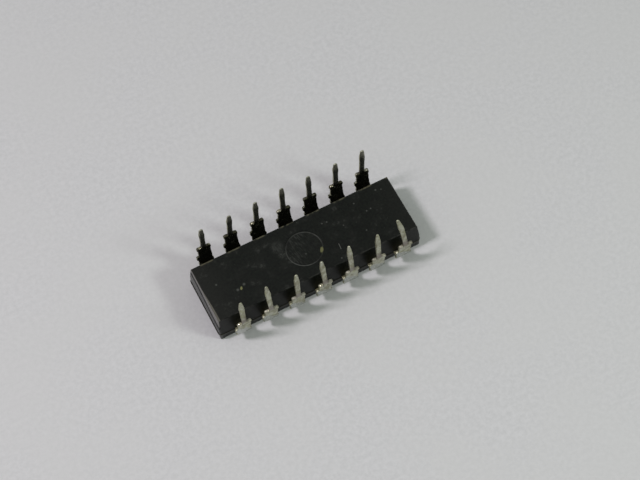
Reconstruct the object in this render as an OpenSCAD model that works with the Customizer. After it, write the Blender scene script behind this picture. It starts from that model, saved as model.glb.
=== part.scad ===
// Fourteen-lead dual in-line package, lying on its marking face.
// The origin is the middle of the marking face, Z points towards the lead tips,
// X runs along the body, and the row with the higher lead numbers is on the -Y side.

/* [Moulded body] */
// Length of the body at the parting line
body_len = 19.35; // [19.2:0.05:20.4]
// Width of the body at the parting line
body_wid = 5.98; // [5.7:0.02:6.1]
// Thickness from the marking face to the underside
body_thk = 3.33; // [3.2:0.01:3.6]
// Height of the parting line above the marking face
parting_z = 1.05; // [0.95:0.01:1.4]
// Draft of all eight side faces
draft_deg = 6; // [3:0.5:9]
// Radius of the upright corners
corner_r = 0.3; // [0.15:0.05:0.6]
// Small flat that breaks the edges of both faces
edge_break = 0.06; // [0.03:0.01:0.12]
// How far the flash stands out at the parting line
flash_out = 0.04; // [0.02:0.01:0.08]
// Height of the flash
flash_thk = 0.1; // [0.06:0.02:0.16]

/* [Marks in the body] */
// Radius of the index notch in the marking face
notch_r = 0.75; // [0.5:0.05:1]
// Depth of the index notch
notch_depth = 0.4; // [0.2:0.05:0.5]
// Radius of the round ejector mark in the underside
mark_r = 1.65; // [1.2:0.05:2]
// Depth of the ejector mark
mark_depth = 0.04; // [0.02:0.01:0.1]

/* [Leads] */
// Distance from one lead to the next
pitch = 2.54; // [2.5:0.01:2.6]
// Distance between the two rows at the seating plane, middle to middle
row_spacing = 7.96; // [7.8:0.02:8.2]
// Thickness of the lead frame
lead_thk = 0.22; // [0.2:0.01:0.3]
// Width of a lead round its bend
shoulder_wid = 1.15; // [1:0.05:1.3]
// Width over the two lugs at the seating plane
lug_span = 1.24; // [1.2:0.02:1.4]
// Radius of the round lug at each side of the pin
lug_r = 0.2; // [0.15:0.01:0.24]
// Height of the seating plane above the marking face
seat_z = 3.85; // [3.7:0.05:4.1]
// Radius of the bend along the middle of the metal
bend_r = 0.5; // [0.4:0.05:0.6]
// Outward splay of the shoulders
splay_deg = 7; // [3:0.5:9]
// Length that a stub of the dam bar stands out
stub_out = 0.32; // [0.1:0.02:0.36]
// Height of that stub along the lead
stub_tall = 0.34; // [0.2:0.02:0.5]
// Distance from the seating plane down to the stub
stub_drop = 1.1; // [0.7:0.05:1.2]
// Length that the low corner of a shoulder stands out on its other side
heel_out = 0.08; // [0.04:0.02:0.12]

/* [Pins] */
// Width of a pin
pin_wid = 0.42; // [0.38:0.02:0.5]
// Length of a pin above the seating plane
pin_len = 3.6; // [2.9:0.05:3.8]
// Length of the taper at the tip
tip_len = 1.1; // [0.5:0.05:1.2]
// Width that is left at the very tip
tip_wid = 0.14; // [0.1:0.01:0.25]

/* [Lead frame inside the body] */
// Length of the die paddle
paddle_len = 3.8; // [3:0.1:4.2]
// Width of the die paddle
paddle_wid = 2.7; // [2.2:0.1:2.9]
// Step of the paddle out of the plane of the leads
paddle_step = 0.2; // [0.1:0.02:0.3]
// Width of a tie bar
tie_wid = 0.4; // [0.3:0.02:0.46]
// Gap between the paddle and the finger tips
finger_gap = 0.3; // [0.2:0.02:0.4]
// Width of a finger at its tip
finger_wid = 0.4; // [0.3:0.02:0.44]
// Width of a finger behind its anchor
neck_wid = 0.55; // [0.4:0.05:0.7]
// Distance from the tip of the middle finger back to its wide anchor
neck_len = 0.55; // [0.4:0.05:0.7]
// Part of that distance over which the anchor tapers to the neck
neck_taper = 0.25; // [0.15:0.01:0.3]

/* [Die and bond wires] */
// Length of the silicon die
die_len = 1.7; // [1.3:0.1:2]
// Width of the silicon die
die_wid = 1.4; // [1.1:0.1:1.7]
// Thickness of the silicon die
die_thk = 0.3; // [0.2:0.02:0.34]
// Thickness of the die attach
attach_thk = 0.03; // [0.02:0.01:0.05]
// How far the die attach reaches past the die all round
attach_rim = 0.06; // [0.02:0.02:0.12]
// Distance from the edge of the die to the middle of a bond
bond_inset = 0.16; // [0.12:0.01:0.2]
// Diameter of a bond wire
wire_dia = 0.04; // [0.03:0.01:0.05]
// Radius of the ball that joins a wire to the die
ball_r = 0.055; // [0.045:0.005:0.07]
// Height of that ball
ball_tall = 0.035; // [0.025:0.005:0.05]
// Height of a wire loop above the die
loop_rise = 0.18; // [0.1:0.02:0.24]
// Distance from the tip of a finger to the end of its wire
stitch_in = 0.2; // [0.15:0.01:0.3]

/* [Hidden] */
$fn = 48;
over = 1;

// How far the tip of each pin is bent in, and along the body, from left to right
far_in = [0.3, 0.25, 0.15, 0, 0.05, 0.05, 0];
far_along = [0, 0.1, 0.05, 0.05, 0, 0.05, 0.1];
near_in = [0.1, 0.4, 0.2, 0.3, 0.5, 0.3, 0.7];
near_along = [0, -0.05, 0.05, -0.1, 0, 0.05, -0.35];

// A lead's number gives its row and its place in the row.
// Leads 1 to 7 run to the right along the far row, and 8 to 14 run back along the near one.
function is_far(n) = n <= 7;
function column(n) = is_far(n) ? n - 1 : 14 - n;
function place(n) = column(n) - 3;
function tip_in(n) = is_far(n) ? far_in[column(n)] : near_in[column(n)];
function tip_along(n) = is_far(n) ? far_along[column(n)] : near_along[column(n)];

// The lead frame lies in the parting plane.
frame_z0 = parting_z - lead_thk / 2;
frame_z1 = parting_z + lead_thk / 2;

// The bend ends where the splayed shoulder meets the seating plane at the row spacing.
bend_deg = 90 - splay_deg;
shoulder_len = (seat_z - parting_z - bend_r * (1 - cos(bend_deg))) / sin(bend_deg);
bend_y = row_spacing / 2 - bend_r * sin(bend_deg) - shoulder_len * cos(bend_deg);
bend_end = [0, bend_y + bend_r * sin(bend_deg), parting_z + bend_r * (1 - cos(bend_deg))];

// Heights of the parts stacked on the paddle, from the paddle towards the marking face
paddle_z = frame_z0 + paddle_step;
attach_z = paddle_z - attach_thk;
die_z = attach_z - die_thk;

// Inset of a drafted face at a height above or below the parting line
function inset(h) = h * tan(draft_deg);
under_in = inset(body_thk - parting_z);
marking_in = inset(parting_z);

// One face profile of the body, half as long as half, drafted both ways from the parting line
function profile(half) = [
    [-half + marking_in + edge_break, 0],
    [half - marking_in - edge_break, 0],
    [half - inset(parting_z - edge_break), edge_break],
    [half, parting_z],
    [half - inset(body_thk - parting_z - edge_break), body_thk - edge_break],
    [half - under_in - edge_break, body_thk],
    [-half + under_in + edge_break, body_thk],
    [-half + inset(body_thk - parting_z - edge_break), body_thk - edge_break],
    [-half, parting_z],
    [-half + inset(parting_z - edge_break), edge_break]
];

module rounded_plan(len, wid, tall, r) {
    translate([-len / 2 + r, -wid / 2, 0]) cube([len - 2 * r, wid, tall]);
    translate([-len / 2, -wid / 2 + r, 0]) cube([len, wid - 2 * r, tall]);
    for (x = [-1, 1], y = [-1, 1])
        translate([x * (len / 2 - r), y * (wid / 2 - r), 0]) cylinder(r = r, h = tall);
}

// The outside of the moulding, before anything is cast into it
module mould_form() {
    intersection() {
        translate([0, body_wid / 2 + over, 0]) rotate([90, 0, 0])
            linear_extrude(height = body_wid + 2 * over) polygon(profile(body_len / 2));
        translate([-body_len / 2 - over, 0, 0]) rotate([90, 0, 90])
            linear_extrude(height = body_len + 2 * over) polygon(profile(body_wid / 2));
        rounded_plan(body_len, body_wid, body_thk, corner_r);
    }
    translate([0, 0, parting_z - flash_thk / 2])
        rounded_plan(body_len + 2 * flash_out, body_wid + 2 * flash_out, flash_thk, corner_r + flash_out);
}

// Left and right edges of a strip that follows the points p with the widths w
function unit(v) = v / norm(v);
function turn(v) = [-v[1], v[0]];
function mitre(p, i) =
    i == 0 ? turn(unit(p[1] - p[0])) :
    i == len(p) - 1 ? turn(unit(p[i] - p[i - 1])) :
    let (a = turn(unit(p[i] - p[i - 1])), b = turn(unit(p[i + 1] - p[i])), m = unit(a + b)) m / (m * a);
function strip(p, w) = concat(
    [for (i = [0 : len(p) - 1]) p[i] + mitre(p, i) * w[i] / 2],
    [for (i = [len(p) - 1 : -1 : 0]) p[i] - mitre(p, i) * w[i] / 2]);

// Where the finger of a lead ends beside the paddle, for a place from 0 to 3
beside_x = paddle_len / 2 + finger_gap;
above_y = paddle_wid / 2 + finger_gap;
anchor_y = above_y + neck_len;
neck_y = anchor_y - neck_taper;
corner_y = tie_wid / 2 + 2.5 * finger_wid;
middle_y = tie_wid / 2 + finger_wid;
function finger_path(k) =
    k == 0 ? [[0, above_y]] :
    k == 1 ? [[pitch * 0.42, above_y + finger_wid / 4]] :
    k == 2 ? [[pitch * 1.5, anchor_y - pitch * 0.28], [pitch * 1.15, corner_y], [beside_x, corner_y]] :
             [[pitch * 2.65, anchor_y - pitch * 0.42], [pitch * 1.95, middle_y], [beside_x, middle_y]];
function finger_points(k) = concat(
    [[k * pitch, bend_y + lead_thk / 4], [k * pitch, anchor_y], [k * pitch, neck_y]],
    finger_path(k));
function finger_widths(k) = concat([shoulder_wid, shoulder_wid, neck_wid],
    [for (i = [1 : len(finger_path(k))]) finger_wid]);

// The flat part of a lead, from its tip beside the paddle out to the bend
module finger(k) {
    translate([0, 0, frame_z0]) linear_extrude(height = lead_thk)
        polygon(strip(finger_points(k), finger_widths(k)));
}

// The bend is a true quarter ring, less the splay.
module bend() {
    translate([0, bend_y, parting_z + bend_r]) rotate([0, 90, 0])
        rotate_extrude(angle = bend_deg)
            translate([bend_r - lead_thk / 2, -shoulder_wid / 2]) square([lead_thk, shoulder_wid]);
}

// The plate between the bend and the seating plane, drawn flat.
// The dam bar was cut off unevenly: the left side keeps a stub, and the right side a low heel.
function plate_outline() = let (w = shoulder_wid / 2, top = shoulder_len - lug_r, s = shoulder_len - stub_drop) [
    [-w, -lead_thk / 8],
    [w, -lead_thk / 8],
    [w + heel_out, lead_thk / 4],
    [w + heel_out, lead_thk],
    [w, lead_thk * 1.5],
    [w, top - 1.2 * lug_r],
    [lug_span / 2, top],
    [lug_span / 2 - lug_r, top + lug_r * 0.7],
    [-lug_span / 2 + lug_r, top + lug_r * 0.7],
    [-lug_span / 2, top],
    [-w, top - 1.2 * lug_r],
    [-w, s - stub_tall / 2],
    [-w - stub_out + 0.04, s],
    [-w - stub_out, s - stub_tall],
    [-w, s - 1.5 * stub_tall]
];

module plate() {
    translate(bend_end) rotate([-splay_deg, 0, 0]) rotate([90, 0, 0]) {
        translate([0, 0, -lead_thk / 2]) linear_extrude(height = lead_thk) polygon(plate_outline());
        for (x = [-1, 1])
            translate([x * (lug_span / 2 - lug_r), shoulder_len - lug_r, -lead_thk / 2])
                cylinder(r = lug_r, h = lead_thk);
    }
}

// A pin is tapered in its width by one outline and in its thickness by another.
module pin(lean_in, lean_along) {
    root = 0.6 * lug_r;
    rise = [0, row_spacing / 2, seat_z];
    translate(rise) rotate([asin(lean_in / pin_len), 0, 0]) rotate([0, asin(lean_along / pin_len), 0])
        intersection() {
            rotate([90, 0, 0]) translate([0, 0, -lead_thk]) linear_extrude(height = 2 * lead_thk) polygon([
                [-pin_wid / 2, -root], [pin_wid / 2, -root],
                [pin_wid / 2, pin_len - tip_len],
                [tip_wid / 2 + 0.06, pin_len - tip_wid / 2],
                [tip_wid / 2, pin_len],
                [-tip_wid / 2, pin_len],
                [-tip_wid / 2 - 0.06, pin_len - tip_wid / 2],
                [-pin_wid / 2, pin_len - tip_len]]);
            rotate([90, 0, 90]) translate([0, 0, -pin_wid]) linear_extrude(height = 2 * pin_wid) polygon([
                [-lead_thk / 2, -root], [lead_thk / 2, -root],
                [lead_thk / 2, pin_len - tip_len],
                [lead_thk / 4, pin_len],
                [-lead_thk / 4, pin_len],
                [-lead_thk / 2, pin_len - tip_len]]);
        }
}

// Everything of a lead that keeps its place in the row, with the row on the +Y side
module lead_metal(n) {
    k = place(n);
    mirror([k < 0 ? 1 : 0, 0, 0]) finger(abs(k));
    translate([k * pitch, 0, 0]) {
        bend();
        plate();
        pin(tip_in(n), tip_along(n));
    }
}

module lead(n) {
    color("lightgray") mirror([0, is_far(n) ? 0 : 1, 0]) lead_metal(n);
}

// Paddle with its stepped tie bars, trimmed flush with the end faces of the moulding
module paddle_form() {
    translate([-paddle_len / 2, -paddle_wid / 2, paddle_z]) cube([paddle_len, paddle_wid, lead_thk]);
    for (side = [0, 1]) mirror([side, 0, 0])
        translate([0, tie_wid / 2, 0]) rotate([90, 0, 0]) linear_extrude(height = tie_wid) polygon([
            [paddle_len / 2 - lead_thk, paddle_z],
            [paddle_len / 2 + finger_gap / 2, paddle_z],
            [paddle_len / 2 + finger_gap / 2 + 2 * paddle_step, frame_z0],
            [body_len / 2 + over, frame_z0],
            [body_len / 2 + over, frame_z1],
            [paddle_len / 2 + finger_gap / 2 + 2 * paddle_step, frame_z1],
            [paddle_len / 2 + finger_gap / 2, paddle_z + lead_thk],
            [paddle_len / 2 - lead_thk, paddle_z + lead_thk]]);
}

module die_paddle() {
    color("silver") intersection() {
        paddle_form();
        mould_form();
    }
}

module die_attach() {
    color("gainsboro")
        translate([-die_len / 2 - attach_rim, -die_wid / 2 - attach_rim, attach_z])
            cube([die_len + 2 * attach_rim, die_wid + 2 * attach_rim, attach_thk]);
}

module silicon_die() {
    color("slategray") translate([-die_len / 2, -die_wid / 2, die_z]) cube([die_len, die_wid, die_thk]);
}

// Bond places on the die and on the fingers, for a place from 0 to 3, on the +X +Y side
pad_x = die_len / 2 - bond_inset;
pad_y = die_wid / 2 - bond_inset;
function pad(k) = k == 0 ? [0, pad_y] : k == 1 ? [pad_x / 2, pad_y] : k == 2 ? [pad_x, pad_y] : [pad_x, pad_y / 2];
function stitch(k) = let (p = finger_path(k), e = p[len(p) - 1])
    k == 0 ? e + [0, stitch_in] : k == 1 ? e + stitch_in * unit([pitch, neck_y] - e) : e + [stitch_in, 0];

// A wire is a tube of flat facets. It starts as a ball on the die, leaves it upright
// and comes down flat on the finger.
wire_steps = 9;
wire_sides = 8;
function wire_middle(a, b, s) = let (rise = loop_rise * pow(sin(180 * pow(s, 0.55)), 0.8))
    [a[0] + (b[0] - a[0]) * s, a[1] + (b[1] - a[1]) * s, a[2] + (b[2] - a[2]) * s - rise];
function level(a, b) = unit([b[0] - a[0], b[1] - a[1], 0]);
function ring(c, r, side, other) = [for (j = [0 : wire_sides - 1]) let (t = 360 * j / wire_sides)
    c + r * (cos(t) * side + sin(t) * other)];
function wire_ring(a, b, i) = let (
    s = i / wire_steps,
    flat = level(a, b),
    side = [-flat[1], flat[0], 0],
    run = unit(wire_middle(a, b, s + 0.02) - wire_middle(a, b, s - 0.02)))
    ring(wire_middle(a, b, s), wire_dia / 2, side,
        i == 0 ? -flat : i == wire_steps ? flat : cross(side, run));

// The wire of the lead in place k
module wire_metal(k) {
    a = [pad(k)[0], pad(k)[1], die_z - ball_tall];
    b = [stitch(k)[0], stitch(k)[1], frame_z0];
    flat = level(a, b);
    side = [-flat[1], flat[0], 0];
    rings = [
        each ring([a[0], a[1], die_z], ball_r, side, -flat),
        each ring([a[0], a[1], die_z - 0.7 * ball_tall], ball_r, side, -flat),
        each [for (i = [0 : wire_steps]) each wire_ring(a, b, i)]];
    n = wire_sides;
    last = wire_steps + 2;
    walls = [for (i = [0 : last - 1], j = [0 : n - 1]) let (
        p = i * n + j, q = i * n + (j + 1) % n, u = p + n, v = q + n)
        each [[p, q, v], [p, v, u]]];
    start = [for (j = [1 : n - 2]) [0, j + 1, j]];
    finish = [for (j = [1 : n - 2]) [last * n, last * n + j, last * n + j + 1]];
    polyhedron(points = rings, faces = concat(walls, start, finish), convexity = 4);
}

module bond_wire(n) {
    k = place(n);
    color("gold") mirror([0, is_far(n) ? 0 : 1, 0]) mirror([k < 0 ? 1 : 0, 0, 0]) wire_metal(abs(k));
}

module moulded_body() {
    color([0.13, 0.13, 0.12]) difference() {
        mould_form();
        translate([-body_len / 2, 0, -over]) cylinder(r = notch_r, h = notch_depth + over);
        translate([0, 0, body_thk - mark_depth]) cylinder(r = mark_r, h = mark_depth + over);
        for (n = [1 : 14]) {
            lead(n);
            bond_wire(n);
        }
        paddle_form();
        die_attach();
        silicon_die();
    }
}

moulded_body();
lead(1);  // lead_1
lead(2);  // lead_2
lead(3);  // lead_3
lead(4);  // lead_4
lead(5);  // lead_5
lead(6);  // lead_6
lead(7);  // lead_7
lead(8);  // lead_8
lead(9);  // lead_9
lead(10);  // lead_10
lead(11);  // lead_11
lead(12);  // lead_12
lead(13);  // lead_13
lead(14);  // lead_14
die_paddle();
die_attach();
silicon_die();
bond_wire(1);  // bond_wire_1
bond_wire(2);  // bond_wire_2
bond_wire(3);  // bond_wire_3
bond_wire(4);  // bond_wire_4
bond_wire(5);  // bond_wire_5
bond_wire(6);  // bond_wire_6
bond_wire(7);  // bond_wire_7
bond_wire(8);  // bond_wire_8
bond_wire(9);  // bond_wire_9
bond_wire(10);  // bond_wire_10
bond_wire(11);  // bond_wire_11
bond_wire(12);  // bond_wire_12
bond_wire(13);  // bond_wire_13
bond_wire(14);  // bond_wire_14
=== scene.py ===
# %% [markdown]
# A used chip lying on its back
#
# The object is a small electronics part: a black moulded block with seven metal leads along
# each long side. It lies on its marking face, so we look at its underside and the leads point up.
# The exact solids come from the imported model. Here we choose the camera, the light and the
# finishes, and we make the leads again as soft-edged tinned metal.

import math

import bmesh
import bpy
from mathutils import Matrix, Vector, noise


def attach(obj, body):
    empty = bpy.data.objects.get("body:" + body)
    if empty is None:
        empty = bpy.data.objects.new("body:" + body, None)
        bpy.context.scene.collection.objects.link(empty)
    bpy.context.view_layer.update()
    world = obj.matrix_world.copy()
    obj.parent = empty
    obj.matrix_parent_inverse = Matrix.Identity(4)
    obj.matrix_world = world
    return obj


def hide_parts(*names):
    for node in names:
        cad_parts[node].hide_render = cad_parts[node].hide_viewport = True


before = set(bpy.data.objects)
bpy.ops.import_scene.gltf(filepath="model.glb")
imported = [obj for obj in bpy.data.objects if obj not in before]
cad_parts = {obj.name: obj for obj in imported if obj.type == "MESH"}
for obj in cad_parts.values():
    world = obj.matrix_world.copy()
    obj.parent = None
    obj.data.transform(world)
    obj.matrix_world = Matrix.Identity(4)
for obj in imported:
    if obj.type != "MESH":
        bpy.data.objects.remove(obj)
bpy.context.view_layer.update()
MM = 0.001

# %% [markdown]
# The camera
#
# A photograph of a flat, regular thing tells where it was taken from. The seven leads of a row
# stand 2.54 mm apart, so their places in the picture fix the viewing direction and the distance.
# Azimuth and elevation turn the camera round the object, roll tips it, and the two offsets slide
# the object in the picture. Working with these few numbers is easier than dragging a camera.

# %% Add an object to the scene
def add(name, data):
    made = bpy.data.objects.new(name, data)
    bpy.context.collection.objects.link(made)
    return made


# %% Place the camera
azimuth, elevation, roll = (math.radians(v) for v in (-22.913, 63.61, -4.73))
distance_mm = 153.415
pixels_per_mm = 11.508
picture_wide, sensor_mm = 640, 36
offset_right_mm, offset_up_mm = -1.219, -2.143

back = Vector((
    math.sin(azimuth) * math.cos(elevation),
    -math.cos(azimuth) * math.cos(elevation),
    math.sin(elevation),
))
level_right = Vector((math.cos(azimuth), math.sin(azimuth), 0))
level_up = back.cross(level_right)
right = level_right * math.cos(roll) + level_up * math.sin(roll)
up = level_up * math.cos(roll) - level_right * math.sin(roll)
eye = back * distance_mm - right * offset_right_mm - up * offset_up_mm
turn = Matrix((right, up, back)).transposed().to_4x4()

camera = add("camera", bpy.data.cameras.new("camera"))
camera.matrix_world = Matrix.Translation(eye * MM) @ turn
camera.data.sensor_width = sensor_mm
camera.data.lens = pixels_per_mm * distance_mm * sensor_mm / picture_wide
camera.data.clip_start = 0.01
camera.data.clip_end = 5
bpy.context.scene.camera = camera
print("lens in mm:", round(camera.data.lens, 1))

# %% [markdown]
# Writing shader maths as Python
#
# A finish is a network of nodes. Wiring it by hand takes many lines, so a small class wraps a
# socket and lets us write sums: adding two values makes a Math node. One method makes every other
# node from its type, its settings and the values or links of its sockets. A second class adds
# round, oval and straight marks: each is a distance in mm that is turned into a mask.

# %% A value that knows how to add its own Math nodes
class Value:
    def __init__(self, finish, socket):
        self.finish = finish
        self.socket = socket

    def math(self, operation, first, second=0.0):
        return self.finish.node("ShaderNodeMath", {"operation": operation}, {0: first, 1: second})

    def __add__(self, other):
        return self.math("ADD", self, other)

    def __radd__(self, other):
        return self.math("ADD", other, self)

    def __sub__(self, other):
        return self.math("SUBTRACT", self, other)

    def __rsub__(self, other):
        return self.math("SUBTRACT", other, self)

    def __mul__(self, other):
        return self.math("MULTIPLY", self, other)

    def __rmul__(self, other):
        return self.math("MULTIPLY", other, self)

    def __pow__(self, other):
        return self.math("POWER", self, other)

    def absolute(self):
        return self.math("ABSOLUTE", self)

    def at_least(self, other):
        return self.math("MAXIMUM", self, other)

    def at_most(self, other):
        return self.math("MINIMUM", self, other)

    def wave(self, period):
        """Swings between -1 and 1, once in each period."""
        return self.math("SINE", self * (2 * math.pi / period))

    def repeat(self, period):
        """Starts again from 0 after each period."""
        return self.math("FLOORED_MODULO", self, period)

    def ramp(self, start, end, low=0.0, high=1.0):
        """Goes smoothly from low to high while the value goes from start to end."""
        settings = {"interpolation_type": "SMOOTHSTEP"}
        sockets = {"Value": self, "From Min": start, "From Max": end, "To Min": low, "To Max": high}
        return self.finish.node("ShaderNodeMapRange", settings, sockets)


# %% A finish that makes its nodes with one method
class Finish:
    def __init__(self, name):
        self.material = bpy.data.materials.new(name)
        self.material.use_nodes = True
        self.tree = self.material.node_tree
        self.shader = next(n for n in self.tree.nodes if n.type == "BSDF_PRINCIPLED")
        self.coordinates = self.tree.nodes.new("ShaderNodeTexCoord")
        in_mm = {"Vector": self.coordinates.outputs["Object"], "Scale": (1 / MM, 1 / MM, 1 / MM)}
        self.place = self.node("ShaderNodeMapping", {"vector_type": "POINT"}, in_mm)
        self.x, self.y, self.z = self.split(self.place)

    def node(self, kind, settings, sockets, output=0, whole=False):
        made = self.tree.nodes.new(kind)
        for key, value in settings.items():
            setattr(made, key, value)
        for key, value in sockets.items():
            self.feed(made.inputs[key], value)
        return made if whole else Value(self, made.outputs[output])

    def feed(self, target, value):
        source = value.socket if isinstance(value, Value) else value
        if isinstance(source, bpy.types.NodeSocket):
            self.tree.links.new(source, target)
        else:
            target.default_value = source

    def split(self, vector):
        """The x, y and z of a vector as three values."""
        made = self.node("ShaderNodeSeparateXYZ", {}, {0: vector}, whole=True)
        return [Value(self, part) for part in made.outputs]

    def drawn_out(self, sizes, degrees=0):
        """Coordinates that stretch a pattern by these sizes and turn it about the upright axis."""
        sockets = {"Vector": self.place, "Rotation": (0, 0, math.radians(degrees)), "Scale": sizes}
        return self.node("ShaderNodeMapping", {"vector_type": "TEXTURE"}, sockets)

    def noise(self, scale, detail=3.0, roughness=0.55, place=None):
        sockets = {"Vector": place or self.place, "Scale": scale, "Detail": detail, "Roughness": roughness}
        return self.node("ShaderNodeTexNoise", {}, sockets)

    def colour(self, factor, first, second):
        sockets = {0: factor, 6: first, 7: second}
        return self.node("ShaderNodeMix", {"data_type": "RGBA"}, sockets, output=2)

    def paint(self, base, layers):
        """Lays one colour after another over the base, each where its mask is 1."""
        for mask, colour in layers:
            base = self.colour(mask, base, colour)
        return base

    def bump(self, height, strength, distance_mm):
        sockets = {"Height": height, "Strength": strength, "Distance": distance_mm * MM}
        return self.node("ShaderNodeBump", {}, sockets)

    def finish(self, **sockets):
        for key, value in sockets.items():
            self.feed(self.shader.inputs[key.replace("_", " ")], value)


# %% A finish with shapes that are drawn on it from above
class Marked(Finish):
    def from_point(self, x, y):
        """Distance from a point, seen from above."""
        return ((self.x - x) ** 2 + (self.y - y) ** 2) ** 0.5

    def turned(self, x, y, degrees):
        """Distances along and across a line that starts at a point and is turned by some degrees."""
        c, s = math.cos(math.radians(degrees)), math.sin(math.radians(degrees))
        dx, dy = self.x - x, self.y - y
        return dx * c + dy * s, dy * c - dx * s

    def disc(self, x, y, radius, soft=0.3):
        """1 inside a round spot, and 0 outside."""
        return self.from_point(x, y).ramp(radius * (1 + soft), radius * (1 - soft))

    def oval(self, x, y, length, width, degrees):
        """1 inside a soft, slightly ragged oval spot, and 0 outside."""
        along, across = self.turned(x, y, degrees)
        far = ((along * (2 / length)) ** 2 + (across * (2 / width)) ** 2) ** 0.5
        return (far + self.noise(5) - 0.5).ramp(1.15, 0.65)

    def streak(self, x, y, length, width, degrees):
        """1 on a short line, and 0 away from it."""
        along, across = self.turned(x, y, degrees)
        ends = along.absolute().ramp(length / 2, length / 2 - width)
        return ends * across.absolute().ramp(width, width * 0.2)


# %% [markdown]
# The moulded block
#
# Moulding compound is epoxy filled with ground silica and blackened with carbon. It comes out of
# the mould dull and very slightly rough. An image could be wrapped round the block, but a few
# noise patterns in the object's own coordinates need no file, have no seams at the edges and stay
# sharp in a close view. A few patterns are shared by all that follows, so they come first.

# %% Where the faces of the block are, in mm
half_long, half_wide, block_tall, parting_z = 9.435, 2.75, 3.33, 1.05
leads_a_row, pitch = 7, 2.54
print("the underside is", 2 * half_long, "by", 2 * half_wide, "mm, the leads are", pitch, "mm apart")

# %% The moulding compound and how far each point of it is from the rim of the underside
compound = Marked("moulding_compound")
grain = compound.noise(16, 4, 0.65)
cloud = compound.noise(0.9, 3, 0.5)
smear = compound.noise(3.2, 5, 0.62)
broken = compound.noise(2.6, 4, 0.6)
mottle = compound.noise(4.5, 3, 0.7)
inward = (half_long - compound.x.absolute()).at_most(half_wide - compound.y.absolute())
rim = inward.at_least(0.0) + (block_tall - compound.z).at_least(0.0)
on_top = compound.z.ramp(block_tall - 0.08, block_tall - 0.02)
print("nodes so far:", len(compound.tree.nodes))

# %% [markdown]
# What is on the underside
#
# A pin pushed the block out of its mould and left a round mark with fine brush strokes inside it.
# Its rim shows as a thin pale line, which is a painted glint. Handling added scuffs, dust and a few
# specks. Each is a mask from 0 to 1: a distance gives its outline, noise breaks it up, and the
# larger value wins where two of them meet, so the marks and the painted glint share one pale colour.

# %% The ring that the ejector pin left, with brush strokes inside it and a painted glint on its rim
ring_r = 1.59
ring_far = compound.from_point(-0.03, -0.08)
# Painted glint: a thin pale line on the ring's rim, stronger on two opposite sides; as a bump it is a
# shallow groove
ring_groove_and_glint = (ring_far - ring_r).absolute().ramp(0.08, 0.01) * smear.ramp(0.3, 0.6, 0.35, 1.0)
ring_groove_and_glint = ring_groove_and_glint * (compound.x * 0.48 + compound.y * 0.4).absolute().ramp(0.1, 0.9, 0.35, 1.0)
brushed = compound.drawn_out((0.075, 0.5, 1), 16)
strokes = compound.noise(1.0, 4, 0.6, brushed).ramp(0.48, 0.66)
strokes = strokes * ring_far.ramp(ring_r - 0.01, ring_r - 0.14)
strokes = strokes * (compound.x * 0.88 - compound.y * 0.47).ramp(0.5, -0.6, 0.2, 1.0)
print("the ring is", 2 * ring_r, "mm wide")

# %% Scuffs, dust and specks on the underside
scuff = compound.disc(-2.05, 1.12, 0.48, 0.6).at_least(compound.disc(-1.9, 0.3, 0.34, 0.6))
fine_rub = compound.noise(15, 1, 0.4).ramp(0.4, 0.75)
wide_rub = compound.noise(3.5, 2, 0.5).ramp(0.35, 0.65)
scuff = scuff * (fine_rub * 0.7 + wide_rub * 0.3)
scratch = compound.streak(2.75, -1.3, 0.62, 0.05, -95)
patches = cloud.ramp(0.5, 0.72) * smear.ramp(0.5, 0.66) * on_top
dust = compound.noise(9, 1.5, 0.4).ramp(0.74, 0.8) * smear.ramp(0.48, 0.6) * on_top
# One pale colour for the real marks and for the painted glint on the ring's rim
pale = (ring_groove_and_glint * 0.6).at_least(strokes * 0.3).at_least(scuff * 0.4).at_least(patches * 0.22) * on_top
pale = pale.at_least(dust * 0.7).at_least(scratch * 0.9)
speck_places = {
    0.055: [(3.94, 0.34), (8.41, 1.9)],
    0.066: [
        (2.38, 1.35), (2.81, 1.29), (2.38, -2.36), (5.47, -1.01), (6.34, 0.63), (6.75, 0.67), (5.69, 1.77),
    ],
    0.077: [(-0.12, -0.55), (7.95, 2.06), (-8.15, 0.41)],
    0.11: [(-6.73, -0.87), (-6.04, -0.64)],
}
for radius, places in speck_places.items():
    for x, y in places:
        pale = pale.at_least(compound.disc(x, y, radius, 0.6) * on_top * 0.5)
crumbs = compound.oval(-6.4, -0.87, 0.34, 0.2, 63).at_least(compound.oval(1.25, -0.86, 0.62, 0.3, 62))
crumbs = crumbs * on_top
print("pale specks:", sum(len(places) for places in speck_places.values()), "and crumbs: 2")

# %% [markdown]
# Worn edges and end faces
#
# All edges are rubbed a little pale, and the far long edge has an olive dash beside each lead. On
# the left end, a pale strip along the rim and a broad band under it are a painted highlight of the
# worn, rounded rim, with a painted dark reflection line below. We know how far each point is from
# the rim, so a band is a ramp of that distance, and noise breaks its border.

# %% Worn edges, and the painted highlight along the left end of the underside
worn = rim.ramp(0.09, 0.0) * broken.ramp(0.4, 0.6) * 0.35
beside_lead = (compound.x + (0.35 + pitch / 4)).wave(pitch)
far_edge = compound.y.ramp(half_wide - 0.2, half_wide - 0.08) * rim.ramp(0.6, 0.3)
far_edge = far_edge * beside_lead.ramp(-0.2, 0.5) * broken.ramp(0.36, 0.55)
# Painted highlight of the worn left rim: a pale strip on the underside along the left end, wider towards
# the near corner
near_corner = compound.y.ramp(1.5, -2.4, 0.0, 0.17)
end_rim_highlight = (compound.x + half_long).ramp(near_corner + 0.02, near_corner - 0.03) * on_top
parting = (compound.z - parting_z).absolute().ramp(0.14, 0.05)
print("nodes so far:", len(compound.tree.nodes))

# %% The end faces, with a painted highlight and a painted dark reflection line on the left one
at_end = compound.x.absolute().ramp(half_long - 0.02, half_long + 0.01)
at_left = compound.x.ramp(-half_long + 0.03, -half_long - 0.01)
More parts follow.
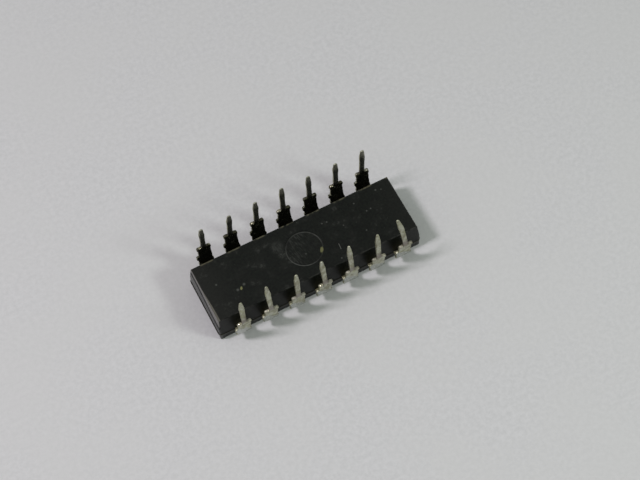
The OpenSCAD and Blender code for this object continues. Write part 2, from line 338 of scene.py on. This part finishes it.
# Painted highlight on the left end face: a broad pale band under the rim, partly the wear of the rim
highlight_band_wide = 0.35 + 0.55 * compound.y.ramp(2.4, -2.7) + 0.3 * (broken - 0.5)
end_wear_and_highlight = at_left * rim.ramp(highlight_band_wide + 0.08, highlight_band_wide - 0.05) * smear.ramp(0.25, 0.55, 0.55, 1.0)
# Painted dark reflection: a dark line below the highlight band on the left end face
end_dark_reflection = at_left * (rim - highlight_band_wide - 0.3).absolute().ramp(0.35, 0.1)
towards_end = (compound.x.ramp(-6.0, -9.3) * 0.9).at_least(compound.x.ramp(6.5, 9.3) * 0.5)
lighter = (cloud.ramp(0.42, 0.75) * 0.5).at_least(towards_end * mottle.ramp(0.3, 0.6, 0.6, 1.0))
print("nodes so far:", len(compound.tree.nodes))

# %% Put the compound together, one layer over another
compound_colour = compound.paint((0.0002, 0.0007, 0.0003, 1), [
    (mottle.ramp(0.38, 0.62), (0.003, 0.0046, 0.0028, 1)),
    (lighter, (0.0076, 0.0082, 0.0066, 1)),
    (pale, (0.085, 0.09, 0.08, 1)),
    (worn, (0.16, 0.15, 0.135, 1)),
    (far_edge * 0.6, (0.12, 0.112, 0.07, 1)),
    # painted highlight of the worn left rim, on the underside and on the end face
    (end_rim_highlight * 0.8, (0.115, 0.11, 0.088, 1)),
    (end_wear_and_highlight * 0.9, (0.125, 0.115, 0.105, 1)),
    # painted dark reflection line on the left end face
    (end_dark_reflection * 0.9, (0.004, 0.004, 0.004, 1)),
    (crumbs, (0.14, 0.14, 0.06, 1)),
    (parting * 0.5, (0.036, 0.036, 0.022, 1)),
])
compound_rough = 0.36 + grain * 0.2 + pale * 0.2 - crumbs * 0.15 - at_end * 0.26 + end_dark_reflection * 0.4
compound_height = grain * 0.5 + smear * 0.6 - ring_groove_and_glint * 1.2 + scuff * 0.6
compound.finish(
    Base_Color=compound_colour,
    Roughness=compound_rough.at_least(0.14),
    Normal=compound.bump(compound_height, 0.35, 0.02),
    Specular_IOR_Level=0.22,
)
print("nodes of the finished compound:", len(compound.tree.nodes))

# %% [markdown]
# Tinned metal
#
# The leads were dipped in solder. It is cream where flux stayed on it and violet grey where it is
# thin. The faces that look in towards the block get a painted shade, faces looking up on the far
# row get painted shade too, and a few spots get painted glints. One finish serves all the leads,
# because it asks of each point where it is and which way its face looks. So the inner faces, the
# pin's foot and the tip each get their colour without any painting by hand.

# %% Which way the faces of a lead look, and where on the lead we are, in mm
# The shoulder stops at the seat, the pin goes on above it, and the stub is the dam bar's cut end
seat_z, pin_len, stub_z = 3.85, 3.6, 2.4
tip_z = seat_z + pin_len
tin = Marked("tinned_metal")
look_x, look_y, look_z = tin.split(tin.coordinates.outputs["Normal"])
look_out = look_y * tin.y.ramp(-0.5, 0.5, -1.0, 1.0)
# Faces that look in towards the block; their colour gets a painted shade below
inner_face_shade = look_out.ramp(-0.1, -0.6)
from_left = tin.x + leads_a_row / 2 * pitch
across_lead = from_left.repeat(pitch) - pitch / 2
print("pins reach from", seat_z, "to", tip_z, "mm")

# %% Runs, blotches and pits of the solder, and painted shade on the far row
runs = tin.noise(1.0, 4, 0.6, tin.drawn_out((1 / 2.4, 1 / 2.4, 1 / 0.75)))
blotch = tin.noise(1.9, 3, 0.6)
pitting = tin.noise(9, 3, 0.6)
pin_foot = (tin.z - (seat_z + 0.25)).absolute().ramp(0.5, 0.1)
low_stub = tin.z.ramp(stub_z + 0.2, stub_z - 0.2) * look_z.ramp(0.0, 0.5) * tin.y.ramp(0.5, -0.5, 0.25, 0.9)
# Painted shade: blotches of the far row's faces that look up, below the tip, are darkened
far_top_shade = tin.y.ramp(0.0, 1.0) * look_z.ramp(0.2, 0.6) * blotch.ramp(0.62, 0.54)
far_top_shade = far_top_shade * tin.z.ramp(tip_z - 0.95, tip_z - 1.45)
print("nodes so far:", len(tin.tree.nodes))

# %% Painted glints where the solder shines, and the bare, smooth tin
# Painted glints: a lighter colour in blotches on faces looking up, mostly on the near row, and on a few
# lugs; the roughness is lower there too
painted_glints = blotch.ramp(0.54, 0.64) * look_z.ramp(0.2, 0.7) * tin.y.ramp(0.5, -0.5, 0.3, 1.0)
glint_spots = [(-8.02, -3.98), (-0.42, -4.0), (-7.95, 3.98), (-2.98, 4.0), (-0.42, 4.0), (4.66, 4.0)]
for x, y in glint_spots:
    painted_glints = painted_glints.at_least(tin.disc(x, y, 0.14) * tin.z.ramp(seat_z - 0.55, seat_z - 0.35))
bare = (stub_z - 0.05 - 0.9 * across_lead - tin.z + 1.2 * (blotch - 0.5)).ramp(-0.25, 0.3)
bare = bare * look_out.ramp(0.3, 0.8) * runs.ramp(0.4, 0.6, 1.0, 0.75)
print("shining drops:", len(glint_spots))

# %% Put the tinned metal together, one layer over another
# Painted shade for the inner faces: darkest on the shoulders, lighter up the pin, lightest near the tip
inner_shade_colour = tin.paint((0.035, 0.036, 0.024, 1), [
    (tin.z.ramp(seat_z + 0.05, seat_z + 0.75), (0.13, 0.135, 0.11, 1)),
    (tin.z.ramp(tip_z - 1.15, tip_z - 0.35) * 0.9, (0.42, 0.41, 0.34, 1)),
])
tin_colour = tin.paint((0.33, 0.325, 0.235, 1), [
    (blotch.ramp(0.36, 0.62), (0.52, 0.525, 0.44, 1)),
    (runs.ramp(0.52, 0.68) * 0.6, (0.24, 0.22, 0.16, 1)),
    (runs.ramp(0.46, 0.36) * 0.6, (0.46, 0.48, 0.3, 1)),
    (look_x.absolute().ramp(0.4, 0.85) * 0.5, (0.38, 0.375, 0.25, 1)),
    (pin_foot * 0.75, (0.27, 0.24, 0.225, 1)),
    # painted shade on the faces that look in towards the block
    (inner_face_shade * (1 - 0.3 * blotch.ramp(0.55, 0.7)), inner_shade_colour),
    (low_stub * 0.8, (0.37, 0.34, 0.18, 1)),
    # painted shade on faces looking up on the far row
    (far_top_shade * 0.9, (0.05, 0.048, 0.03, 1)),
    # painted glints
    (painted_glints * 0.5, (0.72, 0.66, 0.5, 1)),
    (bare, (0.46, 0.485, 0.45, 1)),
])
tin_rough = 0.46 + 0.2 * pitting - 0.36 * painted_glints - 0.12 * inner_face_shade - 0.4 * bare
tin.finish(
    Base_Color=tin_colour,
    Metallic=1.0,
    Roughness=tin_rough.at_least(0.12),
    Normal=tin.bump(pitting + blotch * 2.0, 0.5, 0.012),
)
print("nodes of the finished tin:", len(tin.tree.nodes))

# %% [markdown]
# What is inside the moulding
#
# The paddle that carries the die is rolled metal, whose fine lines run along the strip. The die
# sits on silver-filled glue, and gold wires join it to the leads. They are hidden in the picture,
# but each one can be taken out and looked at, so each has a finish of its own: noise drawn out
# into lines for rolling, small flakes for the glue, and a grid of stripes for the circuits.

# %% Frame metal and glue inside the moulding
frame_metal = Finish("frame_metal")
rolling = frame_metal.noise(1.0, 3, 0.6, frame_metal.drawn_out((1 / 0.6, 1 / 14, 1 / 14)))
# The cut ends at the ends of the block are dark: partly rust, partly painted shade
cut_end_rust_and_shade = frame_metal.x.absolute().ramp(9.2, 9.5)
frame_colour = frame_metal.paint((0.42, 0.33, 0.24, 1), [
    (rolling.ramp(0.3, 0.7), (0.55, 0.45, 0.34, 1)),
    (cut_end_rust_and_shade, (0.03, 0.027, 0.022, 1)),
])
frame_metal.finish(Base_Color=frame_colour, Metallic=1.0, Roughness=0.35 + 0.25 * rolling + 0.2 * cut_end_rust_and_shade)

glue = Finish("silver_epoxy")
flakes = glue.noise(22, 2, 0.7)
glue_colour = glue.colour(flakes.ramp(0.4, 0.6), (0.3, 0.3, 0.29, 1), (0.62, 0.62, 0.6, 1))
glue.finish(Base_Color=glue_colour, Metallic=0.5 + 0.4 * flakes, Roughness=0.6 - 0.2 * flakes)
print("made:", frame_metal.material.name, "and", glue.material.name)

# %% Silicon with a grid of circuit fields, and gold wire
def stripes(place, per_mm):
    """Soft stripes, so many in each mm."""
    return (place.wave(1 / per_mm) * 0.5 + 0.5).ramp(0.35, 0.65)


silicon = Finish("silicon")
fields = silicon.noise(2.2, 2, 0.5).ramp(0.45, 0.55)
circuits = stripes(silicon.x, 4) * stripes(silicon.y, 3) * fields
silicon_colour = silicon.colour(circuits, (0.11, 0.1, 0.14, 1), (0.3, 0.26, 0.24, 1))
silicon.finish(Base_Color=silicon_colour, Metallic=0.55, Roughness=0.16 + 0.14 * fields)

gold = Finish("gold_wire")
drawing = gold.noise(30, 2, 0.5)
gold_colour = gold.colour(drawing, (0.9, 0.62, 0.22, 1), (1.0, 0.78, 0.36, 1))
gold.finish(Base_Color=gold_colour, Metallic=1.0, Roughness=0.2 + 0.15 * drawing)
print("made:", silicon.material.name, "and", gold.material.name)

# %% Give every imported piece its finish
finishes = {
    "moulded": compound,
    "lead": tin,
    "paddle": frame_metal,
    "attach": glue,
    "silicon": silicon,
    "bond": gold,
}
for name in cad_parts:
    chosen = next(finish for key, finish in finishes.items() if key in name)
    for entry in bpy.data.objects[name].material_slots:
        entry.material = chosen.material
    print(name, "gets", chosen.material.name)

# %% [markdown]
# The leads
#
# A lead is stamped from a thin strip of metal: a narrow finger inside the moulding, a wide
# shoulder with two round lugs and the stub of a cut dam bar, and a pin with a pointed tip. The
# stamping is bent, and the whole is dipped in solder, which rounds every edge and leaves lumps.
# We follow the same order: draw the flat blank, cut it finely, give it thickness, round its rims,
# make the solder uneven, and only then form it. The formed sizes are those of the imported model.

# %% Sizes of a lead in mm
row_spacing, bend_r, splay = 7.96, 0.5, math.radians(7)
lead_thk, shoulder_wid, lug_span, lug_r = 0.22, 1.15, 1.24, 0.2
pin_wid, tip_len, tip_wid = 0.42, 1.1, 0.14
stub_out, stub_low, stub_high = 0.27, 1.5, 1.86
heel_out, spread, rim_r, point_r = 0.08, 0.19, 0.05, 0.035
step_along, step_across, blend_len = 0.09, 0.1, 0.28
cut_y = 2.7

bend_turn = math.pi / 2 - splay
arc_len = bend_r * bend_turn
shoulder_len = (seat_z - parting_z - bend_r * (1 - math.cos(bend_turn))) / math.sin(bend_turn)
bend_y = row_spacing / 2 - bend_r * math.sin(bend_turn) - shoulder_len * math.cos(bend_turn)
seat_s = arc_len + shoulder_len
tip_s = seat_s + pin_len
print("shoulder:", round(shoulder_len, 2), "mm long, bend from y =", round(bend_y, 2))

# %% Draw the flat blank, with y along the strip and 0 where the bend starts
def draw_blank(near_row):
    w, top = shoulder_wid / 2, seat_s - lug_r
    lug, foot, heel = lug_span / 2, cut_y - bend_y, w + heel_out
    point_wid = 0.28 if near_row else 0.34
    right_side = [
        (w, foot), (w, 0.3), (heel, 0.5), (heel, arc_len + 0.2), (w, arc_len + 0.36),
        (w, top - 0.22), (lug, top - 0.08), (lug, seat_s), (lug - 2 * lug_r, seat_s),
        (pin_wid / 2, seat_s - 0.08), (pin_wid / 2, tip_s - tip_len),
        (point_wid / 2, tip_s - 0.14), (tip_wid / 2, tip_s),
    ]
    left_side = [
        (-w, foot), (-w, 0.14), (-w - 0.15, 0.34), (-w - spread, 0.85), (-w - 0.14, 1.1),
        (-w - spread, stub_low - 0.06), (-w - stub_out, stub_low + 0.04),
        (-w - stub_out + 0.03, stub_high), (-w - 0.04, stub_high + 0.12),
        *((-x, y) for x, y in right_side[5:]),
    ]
    made = bmesh.new()
    made.faces.new([made.verts.new((x, y, 0)) for x, y in right_side + left_side[::-1]])
    return made


flat = draw_blank(True)
blank_area = sum(face.calc_area() for face in flat.faces)
print("the blank has", len(flat.verts), "corners and", round(blank_area, 2), "mm2")
flat.free()

# %% Round corners and rims, and cut a blank finely
def bevel(made, geometry, offset, kind, segments):
    bmesh.ops.bevel(
        made, geom=geometry, offset=offset, segments=segments, affect=kind, profile=0.5, material=-1
    )


def slice_across(made, axis, start, end, step):
    facing = Vector((0, 0, 0))
    facing[axis] = 1
    for i in range(1, int((end - start) / step)):
        everything = made.verts[:] + made.edges[:] + made.faces[:]
        bmesh.ops.bisect_plane(
            made, geom=everything, plane_co=facing * (start + i * step), plane_no=facing, dist=1e-4
        )


flat = draw_blank(True)
slice_across(flat, 1, cut_y - bend_y, tip_s, step_along)
print("cut across its length, the blank has", len(flat.faces), "faces")
flat.free()

# %% Give the blank its thickness and round its rims
def on_lug(corner):
    """Corners of the lugs, but not those where the pin starts."""
    return corner.co.y > seat_s - 0.05 and abs(corner.co.x) > pin_wid / 2 + 0.01


def is_rim(edge):
    """Sharp edges round the outline of both faces, outside the moulding."""
    level = abs(edge.verts[0].co.z - edge.verts[1].co.z) < 0.01
    return level and edge.verts[0].co.y > 0 and len(edge.link_faces) == 2 and edge.calc_face_angle() > 1.2


def solid_blank(near_row):
    made = draw_blank(near_row)
    bevel(made, [v for v in made.verts if on_lug(v)], lug_r * 0.9, "VERTICES", 5)
    bevel(made, [v for v in made.verts if v.co.y > seat_s + pin_len * 0.7], point_r, "VERTICES", 3)
    slice_across(made, 1, cut_y - bend_y, tip_s, step_along)
    slice_across(made, 0, -0.9, 0.9, step_across)
    raised = bmesh.ops.extrude_face_region(made, geom=made.faces[:])["geom"]
    upper = [v for v in raised if isinstance(v, bmesh.types.BMVert)]
    bmesh.ops.translate(made, vec=(0, 0, lead_thk), verts=upper)
    bmesh.ops.translate(made, vec=(0, 0, -lead_thk / 2), verts=made.verts[:])
    bmesh.ops.recalc_face_normals(made, faces=made.faces[:])
    bevel(made, [e for e in made.edges if is_rim(e)], rim_r, "EDGES", 2)
    return made


flat = solid_blank(True)
print("solid blank:", len(flat.faces), "faces, open edges:", sum(e.is_boundary for e in flat.edges))
flat.free()

# %% [markdown]
# Solder
#
# Solder is thick where it drained to while it was liquid. A displacement texture would do for
# that, but the flat strip is easier: its coordinates say at once what is lug, pin or tip, so each
# point is pushed out along its normal by a few smooth humps and a little noise.

# %% Make the solder uneven
def ease(t):
    """Goes smoothly from 0 to 1 while t does."""
    t = max(0.0, min(1.0, t))
    return t * t * (3 - 2 * t)


def hump(value, centre, reach):
    """1 at the centre and smoothly down to 0 at the reach."""
    return ease(1 - abs(value - centre) / reach)


def solder(made, seed, near_row):
    """Solder gathers on the lugs and the end of the pin, and is uneven between them."""
    made.normal_update()
    shift = Vector((seed * 7.3, seed * 3.1, seed * 5.7))
    on_lugs, near_tip, over_lump, fine_lump = 0.03, 0.03, 0.03, 0.012
    pin_base = -0.03 if near_row else 0.015
    whole_pin = 0.0 if near_row else 0.012
    moves = []
    for v in made.verts:
        x, s = v.co.x, v.co.y
        beyond = s - 0.2
        if beyond < 0:
            continue
        on_pin = max(0.0, min(1.0, (s - seat_s) * 3))
        thick = on_lugs * hump(s, seat_s - 0.15, 0.5) * min(1, abs(x) * 2.2)
        thick += near_tip * hump(s, tip_s - 1.1, 0.9)
        thick += pin_base * hump(s, seat_s + 0.55, 0.75) + whole_pin * on_pin
        lumps = noise.noise(v.co * 3.1 + shift) * over_lump + noise.noise(v.co * 8.5 + shift) * fine_lump
        moves.append((v, v.normal * (thick + lumps * (1 - 0.45 * on_pin) * min(1, beyond * 2))))
    for v, move in moves:
        v.co += move


flat = solid_blank(True)
before = [v.co.copy() for v in flat.verts]
solder(flat, 1, True)
most = max((v.co - old).length for v, old in zip(flat.verts, before))
print("solder moves a point by up to", round(most, 3), "mm")
flat.free()

# %% [markdown]
# Forming
#
# An armature or a bend modifier could form the strip, but a lead is a simple case: a straight
# stretch, an arc and a straight stretch. So one function takes a flat point to its place, with
# the thickness along the outward direction. Each pin of a used chip also leans its own way.

# %% Bend it to shape
def form(point, lean_in, lean_along):
    """Takes a point of the flat strip to its place on a formed lead of the +Y row."""
    x, s, n = point
    bent = min(max(s, 0), arc_len) / bend_r
    along = Vector((0, math.cos(bent), math.sin(bent)))
    out = Vector((0, math.sin(bent), -math.cos(bent)))
    bend_centre = Vector((x, bend_y, parting_z + bend_r))
    on_shoulder = bend_centre + out * (bend_r + n) + along * (s - bent * bend_r)
    rise = s - seat_s
    part = max(0.0, rise / pin_len)
    taper = 1 - 0.5 * ease((rise - pin_len + tip_len) / tip_len)
    curve = 2.0 if abs(lean_along) > 0.2 else 1.0
    lean = Vector((lean_along * part ** curve, -lean_in * part, 0))
    on_pin = Vector((x, row_spacing / 2 + n * taper, seat_z + rise)) + lean
    return on_shoulder.lerp(on_pin, ease(rise / blend_len + 0.5))


print("the tip of a straight lead is at", [round(v, 2) for v in form((0, tip_s, 0), 0, 0)])

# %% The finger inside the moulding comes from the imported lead
def finger_of(node):
    inner = bmesh.new()
    inner.from_mesh(bpy.data.objects[node].data)
    bmesh.ops.scale(inner, vec=(1 / MM, 1 / MM, 1 / MM), verts=inner.verts[:])
    bmesh.ops.remove_doubles(inner, verts=inner.verts[:], dist=1e-5)
    side = 1 if sum(v.co.y for v in inner.verts) > 0 else -1
    everything = inner.verts[:] + inner.edges[:] + inner.faces[:]
    cut = bmesh.ops.bisect_plane(
        inner, geom=everything, plane_co=(0, side * cut_y, 0), plane_no=(0, side, 0), clear_outer=True
    )
    rim_edges = [e for e in cut["geom_cut"] if isinstance(e, bmesh.types.BMEdge)]
    bmesh.ops.holes_fill(inner, edges=rim_edges)
    return inner


finger = finger_of("lead_1")
print("finger of the first lead:", len(finger.faces), "faces")
finger.free()

# %% How far each pin leans in and along its row at the tip, in mm from left to right
far_in = [0.3, 0.25, 0.15, 0, 0.05, 0.05, 0]
far_along = [0, 0.1, 0.05, 0.05, 0, 0.05, 0.1]
near_in = [0.1, 0.4, 0.2, 0.3, 0.5, 0.3, 0.7]
near_along = [0, -0.05, 0.05, -0.1, 0, 0.05, -0.4]
print("largest lean:", max(far_in + near_in), "mm")

# %% Shape one lead and join it to its finger
def shape_lead(number):
    is_far = number <= leads_a_row
    column = number - 1 if is_far else 2 * leads_a_row - number
    lean_in = (far_in if is_far else near_in)[column]
    lean_along = (far_along if is_far else near_along)[column]
    aside = Vector(((column - leads_a_row // 2) * pitch, 0, 0))
    made = solid_blank(not is_far)
    solder(made, number, not is_far)
    for v in made.verts:
        v.co = form(v.co, lean_in, lean_along) + aside
        v.co.y *= 1 if is_far else -1
    bmesh.ops.recalc_face_normals(made, faces=made.faces[:])
    data = bpy.data.meshes.new(f"tinned_lead_{number}")
    inner = finger_of(f"lead_{number}")
    inner.to_mesh(data)
    inner.free()
    made.from_mesh(data)
    bmesh.ops.scale(made, vec=(MM, MM, MM), verts=made.verts[:])
    made.to_mesh(data)
    made.free()
    return data


# %% Make the fourteen leads
def make_lead(number):
    data = shape_lead(number)
    data.polygons.foreach_set("use_smooth", [True] * len(data.polygons))
    data.set_sharp_from_angle(angle=math.radians(40))
    data.materials.append(tin.material)
    piece = add(f"tinned_lead_{number}", data)
    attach(piece, "root")
    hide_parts(f"lead_{number}")
    return piece


leads = [make_lead(number) for number in range(1, 2 * leads_a_row + 1)]
print("faces of all leads:", sum(len(piece.data.polygons) for piece in leads))

# %% [markdown]
# The floor and the light
#
# The chip lies on pale, slightly blotchy paper. The shadows tell where the light came from: a
# broad one to the right and one to the left at the back, so there are two small lamps, one on the
# left that is a little pink and one at the front right that is a little green. The rest of the
# light comes from all round, and a plain world is enough for it.

# %% A pale floor
floor_half_m = 0.6
floor_data = bpy.data.meshes.new("floor")
grid = bmesh.new()
bmesh.ops.create_grid(grid, x_segments=1, y_segments=1, size=floor_half_m)
grid.to_mesh(floor_data)
grid.free()
floor = add("floor", floor_data)

paper = Finish("pale_paper")
blotches = paper.noise(2.6, 5, 0.7).ramp(0.3, 0.7)
clouds = paper.noise(0.09, 3, 0.5).ramp(0.35, 0.65)
paper_colour = paper.paint((0.476, 0.478, 0.484, 1), [
    (blotches, (0.536, 0.536, 0.544, 1)),
    (clouds * 0.5, (0.515, 0.515, 0.513, 1)),
])
paper.finish(Base_Color=paper_colour, Roughness=0.8)
floor.data.materials.append(paper.material)
print("floor:", [round(side, 1) for side in floor.dimensions], "m")

# %% Two lamps
def lamp(name, toward, distance, wide, tall, power, colour):
    data = bpy.data.lights.new(name, "AREA")
    data.shape = "ELLIPSE"
    data.size = wide
    data.size_y = tall
    data.energy = power
    data.color = colour
    made = add(name, data)
    direction = Vector(toward).normalized()
    made.location = direction * distance
    made.rotation_euler = direction.to_track_quat("Z", "Y").to_euler()
    print(name, "stands at", [round(v, 3) for v in made.location], "m")


pinkish, greenish = (1.0, 0.93, 1.0), (0.93, 1.0, 0.94)
lamp("left_lamp", (-0.58, 0.1, 1), distance=0.22, wide=0.036, tall=0.045, power=0.2635, colour=pinkish)
lamp("front_lamp", (0.77, -0.83, 1), distance=0.18, wide=0.039, tall=0.033, power=0.1026, colour=greenish)

# %% A plain world
world = bpy.data.worlds.new("plain_room")
bpy.context.scene.world = world
world.use_nodes = True
background = world.node_tree.nodes["Background"]
background.inputs["Color"].default_value = (0.97, 1.02, 0.95, 1)
background.inputs["Strength"].default_value = 0.37
bpy.context.scene.view_settings.view_transform = "Standard"
print("world strength:", round(background.inputs["Strength"].default_value, 2))
